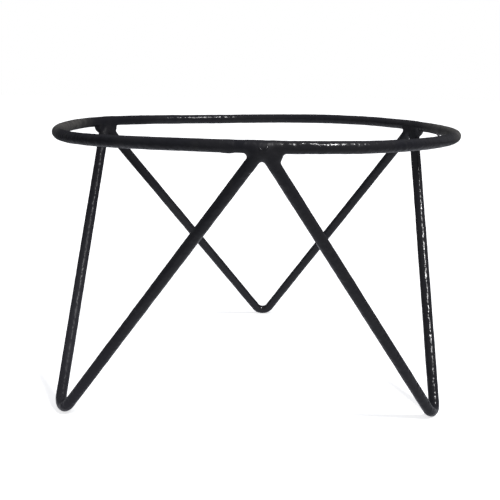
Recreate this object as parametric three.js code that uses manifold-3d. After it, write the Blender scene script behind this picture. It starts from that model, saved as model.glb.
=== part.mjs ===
// A bent-bar pot stand: one round hoop on three hairpin legs, welded together and painted black.
// Millimetres, +Z up. The origin is on the floor under the middle of the stand's box, and -Y is
// the front. The pieces are laid out round the hoop's axis first and the whole is centred last.
import * as THREE from "three";
import { mergeVertices } from "three/addons/utils/BufferGeometryUtils.js";
import Module from "manifold-3d";

const wasm = await Module();
wasm.setup();

// Driving dimensions
const BAR_DIAMETER = 5.2; // a 5 mm bar under 0.1 mm of paint
const HOOP_OUTER_DIAMETER = 200;
const STAND_HEIGHT = 131.8;
const FIT_GAP = 0.3; // left between two pieces where one is cut to the other

// Where the legs reach the hoop: the angle round it, and how far under and outside the hoop's
// centreline the axes of the two limbs meet. They differ a little, because the stand is bent by
// hand. The limbs lean inwards from there, so they pass squarely under the hoop's bar.
const WELD_POINTS = {
  front: { angle: -88.9, drop: 0.1, outset: 1.25 },
  back_right: { angle: 28, drop: 0.3, outset: 1.25 },
  back_left: { angle: 150, drop: 2.5, outset: 0.5 },
};

// Each hairpin leg: the angle and radius of its foot, its bend, and the welds it joins.
const LEGS = {
  left: { angle: -150, radius: 106.3, bend: 7.3, welds: ["front", "back_left"] },
  right: { angle: -34.5, radius: 102.3, bend: 5, welds: ["front", "back_right"] },
  back: { angle: 87.7, radius: 112.2, bend: 5.1, welds: ["back_right", "back_left"] },
};

// The butt weld that closes the hoop
const HOOP_JOINT = { angle: -97, width: 2.4, crown: 0.15 };

// The weld that ties two limbs to the hoop: half-sizes along, across and up, and its middle
const BEAD = { along: 8.5, across: 3.9, up: 4.6, inward: 0.9, drop: 2.6 };

// How finely the round shapes are divided
const BAR_SIDES = 16;
const HOOP_SEGMENTS = 96;
const BEND_STEP = THREE.MathUtils.degToRad(9);
const BEAD_SIDES = 28;

// Worked out from the driving dimensions
const BAR_RADIUS = BAR_DIAMETER / 2;
const HOOP_RADIUS = HOOP_OUTER_DIAMETER / 2 - BAR_RADIUS;
const HOOP_HEIGHT = STAND_HEIGHT - BAR_RADIUS;
const CUTTER = 60; // a block larger than anything it trims

/** A point at an angle in degrees and a radius round the stand's axis, at height z. */
function polar(angle, radius, z) {
  const turn = THREE.MathUtils.degToRad(angle);
  return new THREE.Vector3(radius * Math.cos(turn), radius * Math.sin(turn), z);
}

/** The corners of the bar's section, flat side centred on facetAngle and touching the true circle. */
function barCorners(radius, facetAngle) {
  const cornerRadius = radius / Math.cos(Math.PI / BAR_SIDES);
  return Array.from({ length: BAR_SIDES }, (_, i) => {
    const angle = facetAngle + ((i + 0.5) * 2 * Math.PI) / BAR_SIDES;
    return new THREE.Vector2(cornerRadius * Math.cos(angle), cornerRadius * Math.sin(angle));
  });
}

/** A geometry as a manifold-3d solid. */
function toSolid(geometry) {
  const bare = geometry.clone();
  bare.deleteAttribute("normal");
  bare.deleteAttribute("uv");
  const merged = mergeVertices(bare, 1e-4);
  return new wasm.Manifold(
    new wasm.Mesh({
      numProp: 3,
      vertProperties: new Float32Array(merged.attributes.position.array),
      triVerts: new Uint32Array(merged.index.array),
    }),
  );
}

/** A manifold-3d solid as a geometry. */
function toGeometry(solid) {
  const mesh = solid.getMesh();
  const geometry = new THREE.BufferGeometry();
  geometry.setAttribute("position", new THREE.BufferAttribute(new Float32Array(mesh.vertProperties), 3));
  geometry.setIndex(new THREE.BufferAttribute(new Uint32Array(mesh.triVerts), 1));
  geometry.computeVertexNormals();
  return geometry;
}

/** A curve that is sampled only at given stations, so that straight runs take no extra sections. */
class StationCurve extends THREE.Curve {
  constructor(stations) {
    super();
    this.stations = stations;
  }

  station(u) {
    return this.stations[Math.round(u * (this.stations.length - 1))];
  }

  getPointAt(u) {
    return this.station(u).point.clone();
  }

  getTangentAt(u) {
    return this.station(u).tangent.clone();
  }
}

/**
 * The axis of a hairpin leg: straight from one top point, tangent into a round bend whose lowest
 * point is the foot, and straight up to the other top point.
 */
function hairpinCurve(top1, foot, top2, bendRadius) {
  const normal = top1.clone().sub(foot).cross(top2.clone().sub(foot)).normalize();
  const across = new THREE.Vector3(0, 0, 1).cross(normal).normalize();
  const down = across.clone().cross(normal);
  if (down.z > 0) {
    down.negate();
  }
  if (across.dot(top1.clone().sub(foot)) > 0) {
    across.negate();
  }
  // The flat segment at the foot is a chord of the bend, so its middle is nearer than the radius.
  const centre = foot.clone().addScaledVector(down, -bendRadius * Math.cos(BEND_STEP / 2));

  // Angles round the bend run from the first limb to the second, with 0 at the foot.
  const tangentAngle = (top) => {
    const arm = top.clone().sub(centre);
    const toTop = Math.atan2(arm.dot(across), arm.dot(down));
    return toTop - Math.sign(toTop) * Math.acos(bendRadius / arm.length());
  };
  const bendStation = (angle) => ({
    point: centre
      .clone()
      .addScaledVector(down, bendRadius * Math.cos(angle))
      .addScaledVector(across, bendRadius * Math.sin(angle)),
    tangent: across
      .clone()
      .multiplyScalar(Math.cos(angle))
      .addScaledVector(down, -Math.sin(angle)),
  });

  const first = tangentAngle(top1);
  const last = tangentAngle(top2);
  const angles = [first];
  // Half steps either side of the foot put one flat segment square on the floor.
  for (let i = Math.ceil(first / BEND_STEP); (i + 0.5) * BEND_STEP < last; i += 1) {
    angles.push((i + 0.5) * BEND_STEP);
  }
  angles.push(last);
  const bend = angles.map(bendStation);
  return new StationCurve([
    { point: top1, tangent: bend[0].tangent },
    ...bend,
    { point: top2, tangent: bend[bend.length - 1].tangent },
  ]);
}

/** A bar of the given radius swept along a hairpin curve, a flat side of it facing down at the foot. */
function sweptBar(curve, radius) {
  const steps = curve.stations.length - 1;
  const frames = curve.computeFrenetFrames(steps, false);
  const middle = curve.stations.reduce(
    (lowest, station, i) => (station.point.z < curve.stations[lowest].point.z ? i : lowest),
    0,
  );
  const facetAngle = Math.atan2(-frames.binormals[middle].z, -frames.normals[middle].z);
  return new THREE.ExtrudeGeometry(new THREE.Shape(barCorners(radius, facetAngle)), {
    steps,
    extrudePath: curve,
  });
}

/** The whole hoop as a closed ring of bar. */
function hoopRing(radius) {
  const profile = barCorners(radius, 0).map((p) => new THREE.Vector2(p.x + HOOP_RADIUS, p.y));
  profile.push(profile[0].clone());
  const geometry = new THREE.LatheGeometry(profile, HOOP_SEGMENTS);
  geometry.rotateX(Math.PI / 2);
  geometry.translate(0, 0, HOOP_HEIGHT);
  return toSolid(geometry);
}

/** A block square to the radial line at an angle, centred at the given distance along the hoop. */
function radialBlock(angle, width, offset, height) {
  const block = new THREE.BoxGeometry(CUTTER, width, CUTTER);
  block.translate(HOOP_RADIUS, offset, height);
  block.rotateZ(THREE.MathUtils.degToRad(angle));
  return toSolid(block);
}

/** The hoop, open by the width of its closing weld. */
function hoopGeometry() {
  const slot = radialBlock(HOOP_JOINT.angle, HOOP_JOINT.width + 2 * FIT_GAP, 0, HOOP_HEIGHT);
  return toGeometry(hoopRing(BAR_RADIUS).subtract(slot));
}

/** The closing weld: a short barrel along the hoop, crowned a little above the bar. */
function hoopJointGeometry() {
  const half = HOOP_JOINT.width / 2;
  const crownPoints = 7;
  const profile = [new THREE.Vector2(0, -half)];
  for (let i = 0; i < crownPoints; i += 1) {
    const along = (2 * i) / (crownPoints - 1) - 1;
    profile.push(new THREE.Vector2(BAR_RADIUS + HOOP_JOINT.crown * (1 - along * along), along * half));
  }
  profile.push(new THREE.Vector2(0, half));
  return new THREE.LatheGeometry(profile, BEAD_SIDES);
}

/** The point where the axes of two limbs meet under the hoop. */
function meetingPoint(weld) {
  return polar(weld.angle, HOOP_RADIUS + weld.outset, HOOP_HEIGHT - weld.drop);
}

function legCurve(leg) {
  const [top1, top2] = leg.welds.map((name) => meetingPoint(WELD_POINTS[name]));
  return hairpinCurve(top1, polar(leg.angle, leg.radius, BAR_RADIUS), top2, leg.bend);
}

/** A leg, coped to the hoop and mitred against its neighbour at both ends. */
function legGeometry(leg) {
  let solid = toSolid(sweptBar(legCurve(leg), BAR_RADIUS)).subtract(hoopRing(BAR_RADIUS + FIT_GAP));
  for (const name of leg.welds) {
    const weldAngle = WELD_POINTS[name].angle;
    const legSide = Math.sign(Math.sin(THREE.MathUtils.degToRad(leg.angle - weldAngle)));
    const offset = legSide * (FIT_GAP - CUTTER) / 2;
    solid = solid.subtract(radialBlock(weldAngle, CUTTER, offset, HOOP_HEIGHT));
  }
  return toGeometry(solid);
}

/** A weld bead: a rounded lump under the hoop, cut clear of the hoop and of both limbs. */
function beadGeometry(name) {
  const weld = WELD_POINTS[name];
  const lump = new THREE.SphereGeometry(1, BEAD_SIDES, BEAD_SIDES / 2);
  lump.rotateX(Math.PI / 2);
  lump.scale(BEAD.across, BEAD.along, BEAD.up);
  lump.translate(HOOP_RADIUS - BEAD.inward, 0, HOOP_HEIGHT - BEAD.drop);
  lump.rotateZ(THREE.MathUtils.degToRad(weld.angle));
  let solid = toSolid(lump).subtract(hoopRing(BAR_RADIUS + FIT_GAP));
  for (const leg of Object.values(LEGS)) {
    if (leg.welds.includes(name)) {
      solid = solid.subtract(toSolid(sweptBar(legCurve(leg), BAR_RADIUS + FIT_GAP)));
    }
  }
  return toGeometry(solid);
}

function barPaint() {
  return new THREE.MeshStandardMaterial({ color: 0x242428, roughness: 0.42, metalness: 0.1 });
}

function weldPaint() {
  return new THREE.MeshStandardMaterial({ color: 0x222225, roughness: 0.5, metalness: 0.1 });
}

/** A named mesh. */
function piece(name, geometry, material) {
  const mesh = new THREE.Mesh(geometry, material);
  mesh.name = name;
  return mesh;
}

const stand = new THREE.Group();
stand.add(piece("hoop", hoopGeometry(), barPaint()));

const hoopJoint = piece("hoop_joint_weld", hoopJointGeometry(), weldPaint());
hoopJoint.position.copy(polar(HOOP_JOINT.angle, HOOP_RADIUS, HOOP_HEIGHT));
hoopJoint.rotation.z = THREE.MathUtils.degToRad(HOOP_JOINT.angle);
stand.add(hoopJoint);

for (const [name, leg] of Object.entries(LEGS)) {
  stand.add(piece(`leg_${name}`, legGeometry(leg), barPaint()));
}
for (const name of Object.keys(WELD_POINTS)) {
  stand.add(piece(`weld_${name}`, beadGeometry(name), weldPaint()));
}

const box = new THREE.Box3().setFromObject(stand);
const middle = box.getCenter(new THREE.Vector3());
stand.position.set(-middle.x, -middle.y, -box.min.z);

export default stand;
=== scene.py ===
"""A bent-bar pot stand: hoop, hairpin legs and welds under black paint, on a white studio floor."""
import math

import bpy
import numpy as np
from mathutils import Matrix, Vector


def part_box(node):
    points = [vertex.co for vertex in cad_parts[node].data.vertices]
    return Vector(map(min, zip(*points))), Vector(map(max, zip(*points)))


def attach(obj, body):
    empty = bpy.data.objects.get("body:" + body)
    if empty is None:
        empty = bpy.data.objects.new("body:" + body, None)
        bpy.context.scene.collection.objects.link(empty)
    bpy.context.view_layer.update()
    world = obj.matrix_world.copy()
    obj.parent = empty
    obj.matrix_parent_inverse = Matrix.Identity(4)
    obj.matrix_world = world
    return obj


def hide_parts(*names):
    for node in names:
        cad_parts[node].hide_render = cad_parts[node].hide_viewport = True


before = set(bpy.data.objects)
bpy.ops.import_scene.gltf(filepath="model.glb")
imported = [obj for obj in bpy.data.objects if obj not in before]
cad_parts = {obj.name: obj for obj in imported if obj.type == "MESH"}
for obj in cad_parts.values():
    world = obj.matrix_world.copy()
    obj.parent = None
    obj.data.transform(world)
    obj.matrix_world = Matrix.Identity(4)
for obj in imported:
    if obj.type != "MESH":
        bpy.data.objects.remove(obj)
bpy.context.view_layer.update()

MM = 0.001

# ---------------------------------------------------------------------------------------------
# Places and sizes, in metres: the frame's own, and details that the frame leaves out
# ---------------------------------------------------------------------------------------------
HOOP_LOW, HOOP_HIGH = (np.array(corner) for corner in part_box("hoop"))
HOOP_CENTRE = (HOOP_LOW + HOOP_HIGH) / 2
BAR_RADIUS = (HOOP_HIGH[2] - HOOP_LOW[2]) / 2
HOOP_RADIUS = (HOOP_HIGH[0] - HOOP_LOW[0]) / 2 - BAR_RADIUS
UP = np.array([0.0, 0.0, 1.0])

# At each weld the axes of two limbs meet this far below and outside the hoop's centreline.
MEETING_DROP = {"front": 0.1 * MM, "back_right": 0.3 * MM, "back_left": 2.5 * MM}
MEETING_OUTSET = {"front": 1.25 * MM, "back_right": 1.25 * MM, "back_left": 0.5 * MM}
# Each leg joins two welds and turns at the foot on a bend of this centreline radius.
LEG_WELDS = {
    "left": ("front", "back_left"),
    "right": ("front", "back_right"),
    "back": ("back_right", "back_left"),
}
LEG_BEND = {"left": 7.3 * MM, "right": 5.0 * MM, "back": 5.1 * MM}

# A leg's lowest flat is the vertices this near to its lowest one.
FLAT_DEPTH = 0.02 * MM

# The hoop is bent by hand and isn't quite flat: waves round it, their height, and their phase in
# degrees.
HOOP_WAVES = ((2, 0.28 * MM, -39), (3, 0.35 * MM, -18), (4, 0.29 * MM, -172))
# The gap between the hoop's ends, inside the weld that closes it
HOOP_GAP = 0.5 * MM
# That weld: how far it runs either way, how proud it is above and below, and its fall to its ends,
# where 1 would end it level with the bar and more sinks it
JOINT_REACH = 4.5 * MM
JOINT_PROUD_TOP = 0.05 * MM
JOINT_PROUD_UNDER = 0.3 * MM
JOINT_FALL = 2.4
# A drop of paint dried under the hoop: angle round the hoop, depth and spread
DRIP_ANGLE = math.radians(11.3)
DRIP_DEPTH = 0.9 * MM
DRIP_SPREAD = 0.75 * MM

# Fineness of the swept bars and of the weld grids
BAR_SIDES = 40
BAR_STEP = 0.6 * MM
BEND_POINTS = 40
WELD_STEP = 0.25 * MM


def unit(vector):
    """The vector at length 1."""
    return vector / np.linalg.norm(vector)


def middle(node):
    """The middle of a CAD node's box."""
    low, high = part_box(node)
    return np.array((low + high) / 2)


def hoop_angle(point):
    """The angle of a point round the hoop's axis."""
    return math.atan2(point[1] - HOOP_CENTRE[1], point[0] - HOOP_CENTRE[0])


def outward(angle):
    """The level direction out from the hoop's axis at an angle."""
    return np.array([math.cos(angle), math.sin(angle), 0.0])


def hoop_lift(angle):
    """How far the hoop's centreline stands above its level plane at an angle."""
    return sum(height * np.sin(count * angle + math.radians(phase)) for count, height, phase in HOOP_WAVES)


def on_hoop(angle):
    """The point of the hoop's centreline at an angle."""
    return HOOP_CENTRE + HOOP_RADIUS * outward(angle) + hoop_lift(angle) * UP


def foot_point(leg):
    """The bar's axis at the foot: one bar radius above the middle of the leg's lowest flat."""
    vertices = np.array([v.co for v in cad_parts["leg_" + leg].data.vertices])
    flat = vertices[vertices[:, 2] < vertices[:, 2].min() + FLAT_DEPTH]
    return flat.mean(axis=0) + BAR_RADIUS * UP


def meeting_point(weld):
    """Where the axes of the two limbs under a weld meet."""
    angle = WELD_ANGLE[weld]
    return on_hoop(angle) + MEETING_OUTSET[weld] * outward(angle) - MEETING_DROP[weld] * UP


WELD_ANGLE = {name: hoop_angle(middle("weld_" + name)) for name in MEETING_DROP}
MEETING = {name: meeting_point(name) for name in MEETING_DROP}
JOINT_ANGLE = hoop_angle(middle("hoop_joint_weld"))


# ---------------------------------------------------------------------------------------------
# Unevenness
# ---------------------------------------------------------------------------------------------
# Layers of unevenness: height, the size over which it varies, and the seed of its noise
BAR_WAVES = (0.07 * MM, 8 * MM, 1)
PAINT_RIPPLES = (0.05 * MM, 1.7 * MM, 2)
WELD_RIPPLES = (0.05 * MM, 1.6 * MM, 7)
# Each seed looks at the noise from another place.
SEED_SHIFT = 11.3
# Large odd numbers that scramble a grid corner's number into its value
SCRAMBLE_X, SCRAMBLE_Y, SCRAMBLE_Z = 73856093, 19349663, 83492791
SCRAMBLE_SEED = 2654435761
SCRAMBLE_MIX = 1274126177
LOW_31_BITS = 0x7FFFFFFF
LOW_16_BITS = 0xFFFF


def noise(points, size, seed):
    """Smooth noise between -1 and 1 at each point, varying over about the given size."""
    place = np.asarray(points) / size + SEED_SHIFT * seed
    cell = np.floor(place).astype(np.int64)
    part = place - cell
    part = part * part * (3 - 2 * part)
    total = np.zeros(len(place))
    for corner in np.ndindex(2, 2, 2):
        x, y, z = (cell + corner).T
        mixed = (x * SCRAMBLE_X) ^ (y * SCRAMBLE_Y) ^ (z * SCRAMBLE_Z) ^ (seed * SCRAMBLE_SEED)
        mixed = ((mixed ^ (mixed >> 13)) * SCRAMBLE_MIX) & LOW_31_BITS
        value = ((mixed ^ (mixed >> 15)) & LOW_16_BITS) * 2 / LOW_16_BITS - 1
        total += value * np.where(corner, part, 1 - part).prod(axis=1)
    return total


def unevenness(points, height, size, seed):
    """One layer of unevenness, as a distance out of the surface at each point."""
    return height * noise(points, size, seed)


def paint_lumps(points):
    """How far the painted surface stands above or below the true bar: rolled bar, thick paint."""
    return unevenness(points, *BAR_WAVES) + unevenness(points, *PAINT_RIPPLES)


# ---------------------------------------------------------------------------------------------
# Bars
# ---------------------------------------------------------------------------------------------
def straight(start, end):
    """Evenly spaced points from start to end."""
    count = max(2, round(np.linalg.norm(end - start) / BAR_STEP))
    return [start + (end - start) * i / count for i in range(count + 1)]


def hairpin(leg):
    """The axis of a leg as close points, limb, round bend and limb, and the normal of its plane."""
    top1, top2 = (MEETING[name] for name in LEG_WELDS[leg])
    foot = foot_point(leg)
    radius = LEG_BEND[leg]
    normal = unit(np.cross(top1 - foot, top2 - foot))
    across = unit(np.cross(UP, normal))
    down = np.cross(across, normal)
    down = -down if down[2] > 0 else down
    across = -across if across @ (top1 - foot) > 0 else across
    centre = foot - down * radius

    def tangent_angle(top):
        arm = top - centre
        to_top = math.atan2(arm @ across, arm @ down)
        return to_top - math.copysign(math.acos(radius / np.linalg.norm(arm)), to_top)

    first, last = tangent_angle(top1), tangent_angle(top2)
    turns = np.linspace(first, last, BEND_POINTS)
    bend = [centre + (down * math.cos(turn) + across * math.sin(turn)) * radius for turn in turns]
    return np.array(straight(top1, bend[0])[:-1] + bend + straight(bend[-1], top2)[1:]), normal


def hoop_arc(first, last):
    """The hoop's centreline between two angles."""
    count = round((last - first) * HOOP_RADIUS / BAR_STEP)
    return np.array([on_hoop(angle) for angle in np.linspace(first, last, count + 1)])


def swept_bar(path, side, swell=None):
    """
    Vertices and faces of a round bar along a path that keeps square to the direction side.
    swell(distance along the path, underness from -1 on top to 1 underneath) adds to the radius.
    """
    before = np.vstack([path[:1], path[:-1]])
    after = np.vstack([path[1:], path[-1:]])
    tangent = after - before
    tangent /= np.linalg.norm(tangent, axis=1)[:, None]
    sides = np.cross(tangent, np.cross(side, tangent))
    sides /= np.linalg.norm(sides, axis=1)[:, None]
    other = np.cross(tangent, sides)
    turn = np.linspace(0, 2 * math.pi, BAR_SIDES, endpoint=False)[None, :, None]
    out = np.cos(turn) * sides[:, None, :] + np.sin(turn) * other[:, None, :]
    radius = np.full((len(path), BAR_SIDES), BAR_RADIUS)
    radius += paint_lumps((path[:, None, :] + BAR_RADIUS * out).reshape(-1, 3)).reshape(radius.shape)
    if swell is not None:
        along = np.concatenate([[0], np.cumsum(np.linalg.norm(np.diff(path, axis=0), axis=1))])
        radius += swell(along[:, None], -out[:, :, 2])
    vertices = (path[:, None, :] + radius[:, :, None] * out).reshape(-1, 3)

    i, j = np.meshgrid(np.arange(len(path) - 1), np.arange(BAR_SIDES), indexing="ij")
    here, following = i * BAR_SIDES, (j + 1) % BAR_SIDES
    there = here + BAR_SIDES
    quads = np.stack([here + j, here + following, there + following, there + j], axis=-1)
    first_end = list(range(BAR_SIDES))[::-1]
    last_end = list(range((len(path) - 1) * BAR_SIDES, len(path) * BAR_SIDES))
    return vertices, quads.reshape(-1, 4).tolist() + [first_end, last_end]


def hoop_mesh():
    """The hoop, open by a small gap inside its closing weld, with the dried drop under it."""
    half_gap = HOOP_GAP / 2 / HOOP_RADIUS
    start = JOINT_ANGLE + half_gap
    drip_place = (DRIP_ANGLE - start) % (2 * math.pi) * HOOP_RADIUS

    def drip(along, underness):
        around = BAR_RADIUS * np.arccos(np.clip(underness, -1, 1))
        away = np.hypot(along - drip_place, around) / DRIP_SPREAD
        return DRIP_DEPTH * np.exp(-away * away)

    return swept_bar(hoop_arc(start, JOINT_ANGLE + 2 * math.pi - half_gap), UP, drip)


def joint_mesh():
    """The closing weld: a low bead round the bar, thicker underneath, sunk into the bar at its ends."""
    reach = JOINT_REACH / HOOP_RADIUS

    def bead(along, underness):
        share = (along - JOINT_REACH) / JOINT_REACH
        under = np.clip(underness, 0, 1)
        proud = JOINT_PROUD_TOP + (JOINT_PROUD_UNDER - JOINT_PROUD_TOP) * under * under
        return proud * (1 - JOINT_FALL * share * share)

    return swept_bar(hoop_arc(JOINT_ANGLE - reach, JOINT_ANGLE + reach), UP, bead)


# ---------------------------------------------------------------------------------------------
# Welds: a smooth blend of the bars and the metal laid between them, meshed from a distance grid
# ---------------------------------------------------------------------------------------------
# Metal laid beside the limbs: along the hoop, outwards, above its centreline, and radius, in mm
DEPOSITS = {
    "front": ((5.6, 0.0, -3.6, 2.0), (-4.0, 0.0, -2.2, 1.5), (0.0, -0.3, -3.0, 2.0)),
    "back_left": ((6.0, 0.0, -3.6, 1.8), (-5.7, -0.6, -3.9, 1.8), (0.0, -0.3, -4.4, 2.0)),
    "back_right": ((3.6, 0.0, -2.4, 1.5), (-6.6, 0.0, -3.2, 2.0), (0.0, -0.3, -3.9, 2.0)),
}
# How far the weld rounds over between two limbs, between limbs and hoop, and round its deposits
CROTCH_BLEND = 1.7 * MM
HOOP_BLEND = 2.4 * MM
DEPOSIT_BLEND = 2.2 * MM
# Away from its middle a weld's skin sinks into the bars and ends inside them.
WELD_PROUD = 0.04 * MM
WELD_FADE_START = 8 * MM
WELD_END = 12 * MM
WELD_SINK = 0.35 * MM
# Spare grid steps outside a weld, the rounds that even out its net, the step over which its slope
# is measured, and the least slope (squared) that a vertex is pressed along
WELD_MARGIN = 2
SETTLE_ROUNDS = 3
SLOPE_STEP = 0.02 * MM
LEAST_SLOPE = 0.2
# The distance given to a grid corner that is put just inside the surface, and how many times all
# the grid's faces are gone through for such corners
JUST_INSIDE = -0.001 * MM
PINCH_ROUNDS = 3


def blend(first, second, reach):
    """The smaller of two distances, rounded over where they are within reach of each other."""
    near = np.maximum(reach - np.abs(first - second), 0) / reach
    return np.minimum(first, second) - near * near * reach / 4


def hoop_distance(points):
    """The distance to the hoop's bar."""
    flat = points - HOOP_CENTRE
    height = flat[:, 2] - hoop_lift(np.arctan2(flat[:, 1], flat[:, 0]))
    return np.hypot(np.hypot(flat[:, 0], flat[:, 1]) - HOOP_RADIUS, height) - BAR_RADIUS


def limb_distance(points, top, direction):
    """The distance to a limb that starts a bar's radius below top and runs down along direction."""
    arm = points - top - BAR_RADIUS * direction
    along = np.maximum(arm @ direction, 0)
    return np.linalg.norm(arm - along[:, None] * direction, axis=1) - BAR_RADIUS


def part_pinches(field):
    """
    Makes a grid corner inside wherever the corners round a cell's face go in, out, in, out, so that
    no edge of the net is shared by four faces. The change is smaller than a cell.
    """
    for one, two in ((0, 1), (1, 2), (2, 0)) * PINCH_ROUNDS:
        corners = []
        for offset in ((0, 0), (1, 0), (1, 1), (0, 1)):
            cut = [slice(None)] * 3
            for axis, start in zip((one, two), offset):
                cut[axis] = slice(start, start + field.shape[axis] - 1)
            corners.append(field[tuple(cut)])
        a, b, c, d = (corner < 0 for corner in corners)
        pinched = (a == c) & (b == d) & (a != b)
        for corner in corners[:2]:
            corner[pinched & (corner >= 0)] = JUST_INSIDE


def net_vertices(field):
    """
    A vertex for each cell that the surface crosses, in grid steps, in the middle of the points where
    it crosses the cell's edges, and each cell's vertex number.
    """
    cells = tuple(n - 1 for n in field.shape)
    crossings = np.zeros(cells + (3,))
    hits = np.zeros(cells)
    for axis in range(3):
        for offset in np.ndindex(2, 2):
            start = np.insert(offset, axis, 0)
            end = np.insert(offset, axis, 1)
            a = field[tuple(slice(s, s + n) for s, n in zip(start, cells))]
            b = field[tuple(slice(e, e + n) for e, n in zip(end, cells))]
            crossed = (a < 0) != (b < 0)
            share = np.where(crossed, a / np.where(crossed, a - b, 1), 0)
            crossings += crossed[..., None] * (start + share[..., None] * (end - start))
            hits += crossed
    used = hits > 0
    number = np.full(cells, -1)
    number[used] = np.arange(used.sum())
    return np.argwhere(used) + crossings[used] / hits[used][:, None], number


def net_faces(inside, number):
    """A quad across each grid edge that leaves the solid, between the vertices of the cells round it."""
    shape = inside.shape
    faces = []
    step_along = np.eye(3, dtype=int)
    for axis in range(3):
        one, two = step_along[(axis + 1) % 3], step_along[(axis + 2) % 3]
        inner = tuple(slice(0, n - 1) if a == axis else slice(1, n - 1) for a, n in enumerate(shape))
        ahead = tuple(slice(1, n) if a == axis else slice(1, n - 1) for a, n in enumerate(shape))
        first, second = inside[inner], inside[ahead]
        for mask, flip in ((first & ~second, False), (~first & second, True)):
            place = np.argwhere(mask) + (1 - step_along[axis])
            ring = [place, place - one, place - one - two, place - two]
            quad = np.stack([number[tuple(cell.T)] for cell in ring], axis=-1)
            faces.append(quad[:, ::-1] if flip else quad)
    return np.concatenate(faces)


def surface_net(distance, low, step, shape):
    """Vertices and quads of the surface where a distance function changes sign, on a regular grid."""
    ticks = [low[a] + step * np.arange(shape[a]) for a in range(3)]
    grid = np.stack(np.meshgrid(*ticks, indexing="ij"), axis=-1)
    field = distance(grid.reshape(-1, 3)).reshape(shape)
    part_pinches(field)
    places, number = net_vertices(field)
    return low + step * places, net_faces(field < 0, number)


def settle(vertices, faces, distance):
    """Evens out a surface net and presses each vertex onto the true surface."""
    pairs = np.concatenate([faces[:, [i, (i + 1) % 4]] for i in range(4)])
    for _ in range(SETTLE_ROUNDS):
        total = np.zeros_like(vertices)
        count = np.zeros(len(vertices))
        for a, b in (pairs.T, pairs.T[::-1]):
            np.add.at(total, a, vertices[b])
            np.add.at(count, a, 1)
        vertices = total / count[:, None]
        value = distance(vertices)
        ahead = [distance(vertices + SLOPE_STEP * axis) for axis in np.eye(3)]
        slope = np.stack([(there - value) / SLOPE_STEP for there in ahead], axis=-1)
        steepness = np.maximum((slope * slope).sum(axis=1), LEAST_SLOPE)
        vertices = vertices - slope * (value / steepness)[:, None]
    return vertices


def limb_directions(name):
    """The directions in which the two limbs under a weld run down from their meeting point."""
    directions = []
    for leg, welds in LEG_WELDS.items():
        if name in welds:
            path, _ = hairpin(leg)
            directions.append(unit(path[1] - path[0]) if welds[0] == name else unit(path[-2] - path[-1]))
    return directions


def weld_distance(name, core):
    """The distance function of one weld, with the stubs of bar that it covers."""
    out = outward(WELD_ANGLE[name])
    along = np.cross(UP, out)
    centre = on_hoop(WELD_ANGLE[name])
    limbs = limb_directions(name)
    deposits = [(centre + MM * (a * along + o * out + u * UP), r * MM) for a, o, u, r in DEPOSITS[name]]

    def distance(points):
        limb1, limb2 = (limb_distance(points, MEETING[name], limb) for limb in limbs)
        total = blend(limb1, limb2, CROTCH_BLEND)
        total = blend(total, hoop_distance(points), HOOP_BLEND)
        for place, radius in deposits:
            total = blend(total, np.linalg.norm(points - place, axis=1) - radius, DEPOSIT_BLEND)
        total = total - paint_lumps(points) - unevenness(points, *WELD_RIPPLES)
        away = np.linalg.norm(points - core, axis=1)
        fade = np.clip((away - WELD_FADE_START) / (WELD_END - WELD_FADE_START), 0, 1)
        total = total - WELD_PROUD + WELD_SINK * fade * fade * (3 - 2 * fade)
        return np.maximum(total, away - WELD_END)

    return distance


def weld_mesh(name):
    """One weld, meshed in a block round a core just under the hoop's centreline."""
    core = on_hoop(WELD_ANGLE[name]) - BAR_RADIUS * UP
    distance = weld_distance(name, core)
    half = WELD_END + WELD_MARGIN * WELD_STEP
    count = round(2 * half / WELD_STEP) + 1
    vertices, faces = surface_net(distance, core - half, WELD_STEP, (count, count, count))
    return settle(vertices, faces, distance), faces.tolist()


# ---------------------------------------------------------------------------------------------
# Paint
# ---------------------------------------------------------------------------------------------
# The paint's two shades of black, the faint dust on it, and how far the dust covers
BLACK = (0.0115, 0.0115, 0.015)
LIGHTER_BLACK = (0.0165, 0.016, 0.018)
DUST = (0.036, 0.034, 0.03)
DUST_COVER = 0.35
# How rough the paint is and how deep its orange peel, on the bars and on the welds
BAR_ROUGHNESS = 0.2
BAR_PEEL = 0.45 * MM
WELD_ROUGHNESS = 0.4
WELD_PEEL = 0.3 * MM
GRIT_DEPTH = 0.015 * MM
# How far its roughness falls and rises over its gloss patches
GLOSSIER = 0.05
ROUGHER = 0.07
# How strongly it mirrors: sound paint, dull paint, and what the painted sheen towards the left foot adds
# to that
SPECULAR = 0.3
DULL_SPECULAR = 0.08
LEFT_SHEEN_SPECULAR = 0.03

# Noise patterns: scale per metre, detail, and the two noise values between which they turn
SHADES = (45, 3, 0.35, 0.65)
DUST_SPECKS = (160, 6, 0.55, 0.8)
GLOSS_PATCHES = (70, 4, 0.35, 0.65)
SIDE_GLARE_FLECKS = (260, 4, 0.3, 0.6)
RUB_MARKS = (420, 4, 0.42, 0.55)
# Noise for the bumps: scale per metre and detail
ORANGE_PEEL = (380, 1)
GRIT = (2600, 2)

# Where each kind of wear, and the painted sheen and glare, start and end. Dull: from full to none going
# right.
DULL_X = (-75 * MM, -45 * MM)
# Painted sheen towards the left foot: within the dull part, from full to none going up.
LEFT_SHEEN_Z = (20 * MM, 120 * MM)
# Painted glare at the hoop's two sides: from none to full going out to either side, and going up to the
# hoop's underside.
SIDE_GLARE_OUT = (87 * MM, 97 * MM)
SIDE_GLARE_Z = (HOOP_LOW[2] - 8 * MM, HOOP_LOW[2])
# Between its brighter flecks the painted glare still lightens the paint by this share.
LEAST_SIDE_GLARE = 0.5
# Rubbed: from most to none going up from the floor.
RUBBED_Z = (0.2 * MM, 0.9 * MM)
MOST_RUBBED = 0.8

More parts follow.
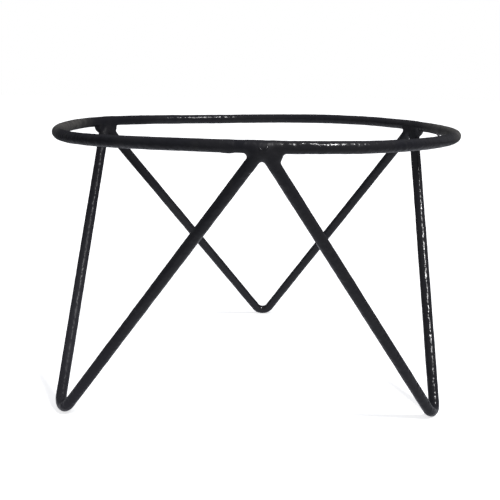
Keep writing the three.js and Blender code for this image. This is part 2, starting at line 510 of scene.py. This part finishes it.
# The colour that each kind of wear, and the painted sheen and glare, give the paint, and how far it covers
WEAR_AND_SHEEN_COLOURS = {
    # The lighter colour towards the left foot is a painted sheen.
    "left_sheen": ((0.04, 0.039, 0.045), 0.7),
    # The lighter warm grey at the hoop's two sides is painted glare.
    "side_glare": ((0.13, 0.125, 0.115), 0.8),
    "rubbed": ((0.05, 0.046, 0.042), 1),
}
# How much rougher each kind of wear, and the painted sheen and glare, make it
WEAR_AND_SHEEN_ROUGHNESS = {"dull": 0.1, "left_sheen": 0.04, "side_glare": 0.25, "rubbed": 0.35}


class Nodes:
    """A short way to build a material's or a world's nodes."""

    def __init__(self, tree):
        self.tree = tree

    def add(self, kind, inputs, **settings):
        """A node with its settings and its inputs, each a number, a colour or another node's output."""
        node = self.tree.nodes.new(kind)
        for name, value in settings.items():
            setattr(node, name, value)
        for name, value in inputs.items():
            socket = node.inputs[name]
            if isinstance(value, bpy.types.NodeSocket):
                self.tree.links.new(value, socket)
            elif isinstance(value, tuple) and len(value) < len(socket.default_value):
                socket.default_value = (*value, 1)
            else:
                socket.default_value = value
        return node

    def position(self):
        """The place of the shaded point, which is also its place on the stand."""
        return self.add("ShaderNodeNewGeometry", {}).outputs["Position"]

    def axes(self, vector):
        """The X, Y and Z of a vector."""
        return self.add("ShaderNodeSeparateXYZ", {"Vector": vector}).outputs

    def texture(self, place, scale, detail):
        inputs = {"Vector": place, "Scale": scale, "Detail": detail}
        return self.add("ShaderNodeTexNoise", inputs).outputs["Fac"]

    def remap(self, value, low, high, to_low, to_high):
        inputs = {"Value": value, "From Min": low, "From Max": high, "To Min": to_low, "To Max": to_high}
        return self.add("ShaderNodeMapRange", inputs, interpolation_type="SMOOTHSTEP").outputs["Result"]

    def pattern(self, place, kind, to_low, to_high):
        """One of the noise patterns above, running from to_low to to_high."""
        scale, detail, low, high = kind
        return self.remap(self.texture(place, scale, detail), low, high, to_low, to_high)

    def dot(self, first, second):
        inputs = {0: first, 1: second}
        return self.add("ShaderNodeVectorMath", inputs, operation="DOT_PRODUCT").outputs["Value"]

    def math(self, operation, *values):
        return self.add("ShaderNodeMath", dict(enumerate(values)), operation=operation).outputs["Value"]

    def mix(self, factor, first, second):
        node = self.add("ShaderNodeMixRGB", {"Fac": factor, "Color1": first, "Color2": second})
        return node.outputs["Color"]

    def bump(self, height, distance, normal=None):
        inputs = {"Height": height, "Distance": distance, "Strength": 1.0}
        if normal is not None:
            inputs["Normal"] = normal
        return self.add("ShaderNodeBump", inputs).outputs["Normal"]

    def surface(self, output, to_camera, otherwise):
        """Shows one shader to the camera, and another to light and reflections."""
        camera_ray = self.add("ShaderNodeLightPath", {}).outputs["Is Camera Ray"]
        choice = self.add("ShaderNodeMixShader", {"Fac": camera_ray, 1: otherwise, 2: to_camera})
        self.tree.links.new(choice.outputs["Shader"], self.tree.nodes[output].inputs["Surface"])


def wear_and_sheen_masks(nodes, place):
    """From 0 to 1, how far each kind of wear, and the painted sheen and glare, have gone at a place."""
    axes = nodes.axes(place)
    dull = nodes.remap(axes["X"], *DULL_X, 1, 0)
    # A painted sheen: the paint is lightened towards the left foot.
    left_sheen = nodes.math("MULTIPLY", dull, nodes.remap(axes["Z"], *LEFT_SHEEN_Z, 1, 0))
    # Painted glare: the paint is lightened at the hoop's two sides, where the bar turns edge-on to the
    # camera.
    at_side = nodes.remap(nodes.math("ABSOLUTE", axes["X"]), *SIDE_GLARE_OUT, 0, 1)
    side_glare = nodes.math("MULTIPLY", at_side, nodes.remap(axes["Z"], *SIDE_GLARE_Z, 0, 1))
    side_glare = nodes.math("MULTIPLY", side_glare, nodes.pattern(place, SIDE_GLARE_FLECKS, LEAST_SIDE_GLARE, 1))
    at_floor = nodes.remap(axes["Z"], *RUBBED_Z, MOST_RUBBED, 0)
    rubbed = nodes.math("MULTIPLY", at_floor, nodes.pattern(place, RUB_MARKS, 0, 1))
    return {"dull": dull, "left_sheen": left_sheen, "side_glare": side_glare, "rubbed": rubbed}


def paint_colour(nodes, place, wear_and_sheen):
    colour = nodes.mix(nodes.pattern(place, SHADES, 0, 1), BLACK, LIGHTER_BLACK)
    colour = nodes.mix(nodes.pattern(place, DUST_SPECKS, 0, DUST_COVER), colour, DUST)
    # Besides real wear, this lays on a painted sheen towards the left foot and painted glare at the hoop's
    # two sides.
    for kind, (tint, cover) in WEAR_AND_SHEEN_COLOURS.items():
        colour = nodes.mix(nodes.math("MULTIPLY", wear_and_sheen[kind], cover), colour, tint)
    return colour


def paint_roughness(nodes, place, wear_and_sheen, roughness):
    result = nodes.pattern(place, GLOSS_PATCHES, roughness - GLOSSIER, roughness + ROUGHER)
    for kind, more in WEAR_AND_SHEEN_ROUGHNESS.items():
        result = nodes.math("MULTIPLY_ADD", wear_and_sheen[kind], more, result)
    return result


def paint_specular(nodes, wear_and_sheen):
    by_dullness = nodes.remap(wear_and_sheen["dull"], 0, 1, SPECULAR, DULL_SPECULAR)
    return nodes.math("MULTIPLY_ADD", wear_and_sheen["left_sheen"], LEFT_SHEEN_SPECULAR, by_dullness)


def paint_relief(nodes, place, peel):
    """Orange peel of the given depth, with fine grit over it."""
    orange_peel = nodes.bump(nodes.texture(place, *ORANGE_PEEL), peel)
    return nodes.bump(nodes.texture(place, *GRIT), GRIT_DEPTH, orange_peel)


def black_paint(name, roughness, peel):
    """
    Semi-gloss black paint over bar: orange peel, patchy gloss and faint dust. It is duller on the
    left, with a painted sheen towards the left foot and painted glare at the two sides of the hoop,
    and rubbed through under the feet.
    """
    material = bpy.data.materials.new(name)
    material.use_nodes = True
    nodes = Nodes(material.node_tree)
    place = nodes.position()
    wear_and_sheen = wear_and_sheen_masks(nodes, place)
    inputs = {
        "Base Color": paint_colour(nodes, place, wear_and_sheen),
        "Roughness": paint_roughness(nodes, place, wear_and_sheen, roughness),
        "Specular IOR Level": paint_specular(nodes, wear_and_sheen),
        "Normal": paint_relief(nodes, place, peel),
    }
    shader = material.node_tree.nodes["Principled BSDF"]
    for socket, value in inputs.items():
        material.node_tree.links.new(value, shader.inputs[socket])
    return material


# ---------------------------------------------------------------------------------------------
# The stand
# ---------------------------------------------------------------------------------------------
def add_piece(node, slot, paint, vertices, faces):
    """A smooth painted mesh that stands for a CAD node and rides with the stand."""
    mesh = bpy.data.meshes.new(node)
    mesh.from_pydata(vertices.tolist(), [], faces)
    mesh.update()
    mesh.polygons.foreach_set("use_smooth", [len(face) == 4 for face in faces])
    mesh.materials.append(paint)
    piece = bpy.data.objects.new("painted_" + node, mesh)
    bpy.context.scene.collection.objects.link(piece)
    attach(piece, "root")
    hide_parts(node)


def build_stand():
    """The eight painted pieces."""
    bar = ("bar_paint", black_paint("black_on_bar", BAR_ROUGHNESS, BAR_PEEL))
    weld = ("weld_paint", black_paint("black_on_weld", WELD_ROUGHNESS, WELD_PEEL))
    add_piece("hoop", *bar, *hoop_mesh())
    add_piece("hoop_joint_weld", *weld, *joint_mesh())
    for leg in LEG_WELDS:
        add_piece("leg_" + leg, *bar, *swept_bar(*hairpin(leg)))
    for name in MEETING_DROP:
        add_piece("weld_" + name, *weld, *weld_mesh(name))


# ---------------------------------------------------------------------------------------------
# Studio
# ---------------------------------------------------------------------------------------------
# The floor: a white sheet just under the feet
FLOOR_HALF = 4.0
FLOOR_DROP = 0.1 * MM
FLOOR_WHITE = (0.9, 0.9, 0.9, 1)
FLOOR_ROUGHNESS = 0.9
# To the camera it glows, near the stand and far out, and turns from one to the other between these
# distances.
GLOW_NEAR, GLOW_FAR = 0.72, 1.0
GLOW_REACH = (0.2, 0.6)
# The paint mirrors it as a pool of light, near and far, that turns between these distances.
POOL_NEAR, POOL_FAR = 0.7, 0.3
POOL_REACH = (0.08, 0.45)

# The room that lights the stand: its tint and strength, the way to its brightest part, and the
# cosines of the angle to it between which it brightens
ROOM_TINT = (0.9, 0.92, 1.0)
ROOM_DARK, ROOM_BRIGHT = 0.19, 0.33
BRIGHT_WAY = (0.0, -0.55, 0.83)
BRIGHT_SPREAD = (-0.3, 0.95)
# Behind the stand the floor that it mirrors and the room darken to this share: the floor between
# two distances, and the room between two cosines of the angle to straight back.
BACKDROP = 0.3
BACK_FLOOR = (0.1, 0.4)
BACK_SPREAD = (0.6, 0.95)

# The one lamp, a soft upright panel that faces the middle of the stand: from the front towards the
# right, and up
LAMP_AIM = (0.0, 0.0, 0.08)
LAMP_AZIMUTH = math.radians(49)
LAMP_ELEVATION = math.radians(54)
LAMP_DISTANCE = 1.2
LAMP_WIDTH, LAMP_HEIGHT = 0.1, 0.24
LAMP_POWER = 11

# The camera, in hoop radii from the point of the floor under the hoop's centre, and its turn
CAMERA_PLACE = (-0.0093, -4.3693, 1.6395)
CAMERA_YAW = 0.0225
CAMERA_PITCH = -0.2644
CAMERA_ROLL = 0.013
# Its focal length and lens shift, in picture widths, and the width of its sensor in millimetres
CAMERA_FOCUS = 1.668
CAMERA_SHIFT = (-0.0452, 0.0858)
CAMERA_SENSOR = 36
CAMERA_NEAR = 0.01


def floor_material():
    """
    White that keeps a faint shadow near the stand and runs out to pure white. The paint mirrors it
    as a pool of light round the stand.
    """
    white = bpy.data.materials.new("white_floor")
    white.use_nodes = True
    nodes = Nodes(white.node_tree)
    place = nodes.position()
    away = nodes.add("ShaderNodeVectorMath", {0: place}, operation="LENGTH").outputs["Value"]
    shader = white.node_tree.nodes["Principled BSDF"]
    shader.inputs["Base Color"].default_value = FLOOR_WHITE
    shader.inputs["Roughness"].default_value = FLOOR_ROUGHNESS
    shader.inputs["Emission Color"].default_value = (1, 1, 1, 1)
    glow = nodes.remap(away, *GLOW_REACH, GLOW_NEAR, GLOW_FAR)
    nodes.tree.links.new(glow, shader.inputs["Emission Strength"])
    pool = nodes.remap(away, *POOL_REACH, POOL_NEAR, POOL_FAR)
    behind = nodes.remap(nodes.axes(place)["Y"], *BACK_FLOOR, 1, BACKDROP)
    strength = nodes.math("MULTIPLY", pool, behind)
    mirrored = nodes.add("ShaderNodeEmission", {"Color": ROOM_TINT, "Strength": strength})
    nodes.surface("Material Output", shader.outputs["BSDF"], mirrored.outputs["Emission"])
    return white


def build_floor():
    corners = [(-FLOOR_HALF, -FLOOR_HALF, 0), (FLOOR_HALF, -FLOOR_HALF, 0)]
    corners += [(FLOOR_HALF, FLOOR_HALF, 0), (-FLOOR_HALF, FLOOR_HALF, 0)]
    mesh = bpy.data.meshes.new("floor")
    mesh.from_pydata(corners, [], [(0, 1, 2, 3)])
    mesh.materials.append(floor_material())
    floor = bpy.data.objects.new("floor", mesh)
    floor.location.z = -FLOOR_DROP
    bpy.context.scene.collection.objects.link(floor)


def build_room():
    """
    White to the camera; to everything else a dim room, brighter overhead and on the camera's
    side, and darkest behind the stand.
    """
    world = bpy.data.worlds.new("studio")
    bpy.context.scene.world = world
    world.use_nodes = True
    nodes = Nodes(world.node_tree)
    ray = nodes.add("ShaderNodeTexCoord", {}).outputs["Generated"]
    overhead = nodes.remap(nodes.dot(ray, BRIGHT_WAY), *BRIGHT_SPREAD, ROOM_DARK, ROOM_BRIGHT)
    behind = nodes.remap(nodes.dot(ray, (0.0, 1.0, 0.0)), *BACK_SPREAD, 1, BACKDROP)
    strength = nodes.math("MULTIPLY", overhead, behind)
    room = nodes.add("ShaderNodeBackground", {"Color": ROOM_TINT, "Strength": strength})
    surround = nodes.add("ShaderNodeBackground", {"Color": (1, 1, 1), "Strength": 1.0})
    nodes.surface("World Output", surround.outputs["Background"], room.outputs["Background"])
    bpy.context.scene.view_settings.view_transform = "Standard"


def build_lamp():
    level = math.cos(LAMP_ELEVATION)
    to_right = math.sin(LAMP_AZIMUTH) * level
    to_back = -math.cos(LAMP_AZIMUTH) * level
    away = Vector((to_right, to_back, math.sin(LAMP_ELEVATION)))
    data = bpy.data.lights.new("key", "AREA")
    data.shape = "RECTANGLE"
    data.size = LAMP_WIDTH
    data.size_y = LAMP_HEIGHT
    data.energy = LAMP_POWER
    lamp = bpy.data.objects.new("key", data)
    lamp.location = Vector(LAMP_AIM) + LAMP_DISTANCE * away
    lamp.rotation_euler = away.to_track_quat("Z", "Y").to_euler()
    bpy.context.scene.collection.objects.link(lamp)


def build_camera():
    """The camera of the reference view, placed by the hoop's size and centre."""
    data = bpy.data.cameras.new("camera")
    data.sensor_width = CAMERA_SENSOR
    data.lens = CAMERA_SENSOR * CAMERA_FOCUS
    data.shift_x, data.shift_y = CAMERA_SHIFT
    data.clip_start = CAMERA_NEAR
    camera = bpy.data.objects.new("camera", data)
    under_hoop = np.array([HOOP_CENTRE[0], HOOP_CENTRE[1], 0])
    camera.location = under_hoop + HOOP_RADIUS * np.array(CAMERA_PLACE)
    level = math.cos(CAMERA_PITCH)
    forward = Vector((math.sin(CAMERA_YAW) * level, math.cos(CAMERA_YAW) * level, math.sin(CAMERA_PITCH)))
    turn = forward.to_track_quat("-Z", "Y").to_matrix()
    camera.rotation_euler = (turn @ Matrix.Rotation(CAMERA_ROLL, 3, "Z")).to_euler()
    bpy.context.scene.collection.objects.link(camera)
    bpy.context.scene.camera = camera


build_stand()
build_floor()
build_room()
build_lamp()
build_camera()
